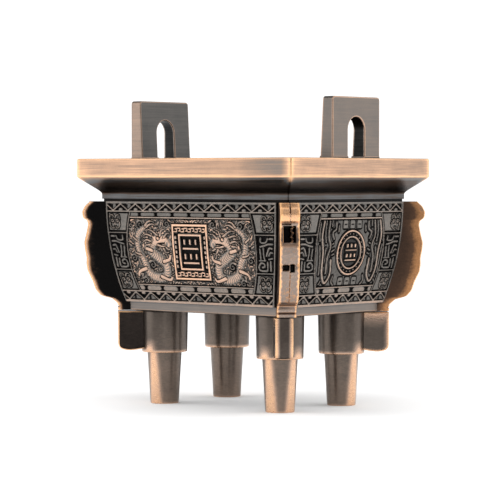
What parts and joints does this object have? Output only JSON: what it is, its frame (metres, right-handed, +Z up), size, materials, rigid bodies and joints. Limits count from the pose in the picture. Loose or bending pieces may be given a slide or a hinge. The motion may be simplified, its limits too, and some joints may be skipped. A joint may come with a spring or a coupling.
{
  "type": "rectangular ding vessel ornament",
  "caption": "Desk-sized cast-metal copy of a rectangular footed ritual vessel: open bowl, upright loop handles, corner flanges, relief panels.",
  "frame": {"origin": "on the ground under the middle of the vessel, feet at z = 0", "axes": "+Z up; X along the long walls, handles at both X ends; Y along the short walls, the front wall faces -Y"},
  "size_m": [0.1322, 0.104, 0.1422],
  "materials": {
    "body_metal": "antique copper plating, darkened recesses, brushed rim",
    "leg_metal": "dark antique copper plating with worn highlights",
    "handle_metal": "brushed antique copper plating"
  },
  "bodies": {
    "root": {"vessel_body": "body_metal", "leg_front_right": "leg_metal", "leg_front_left": "leg_metal", "leg_back_right": "leg_metal", "leg_back_left": "leg_metal", "handle_right": "handle_metal", "handle_left": "handle_metal"}
  },
  "joints": []
}
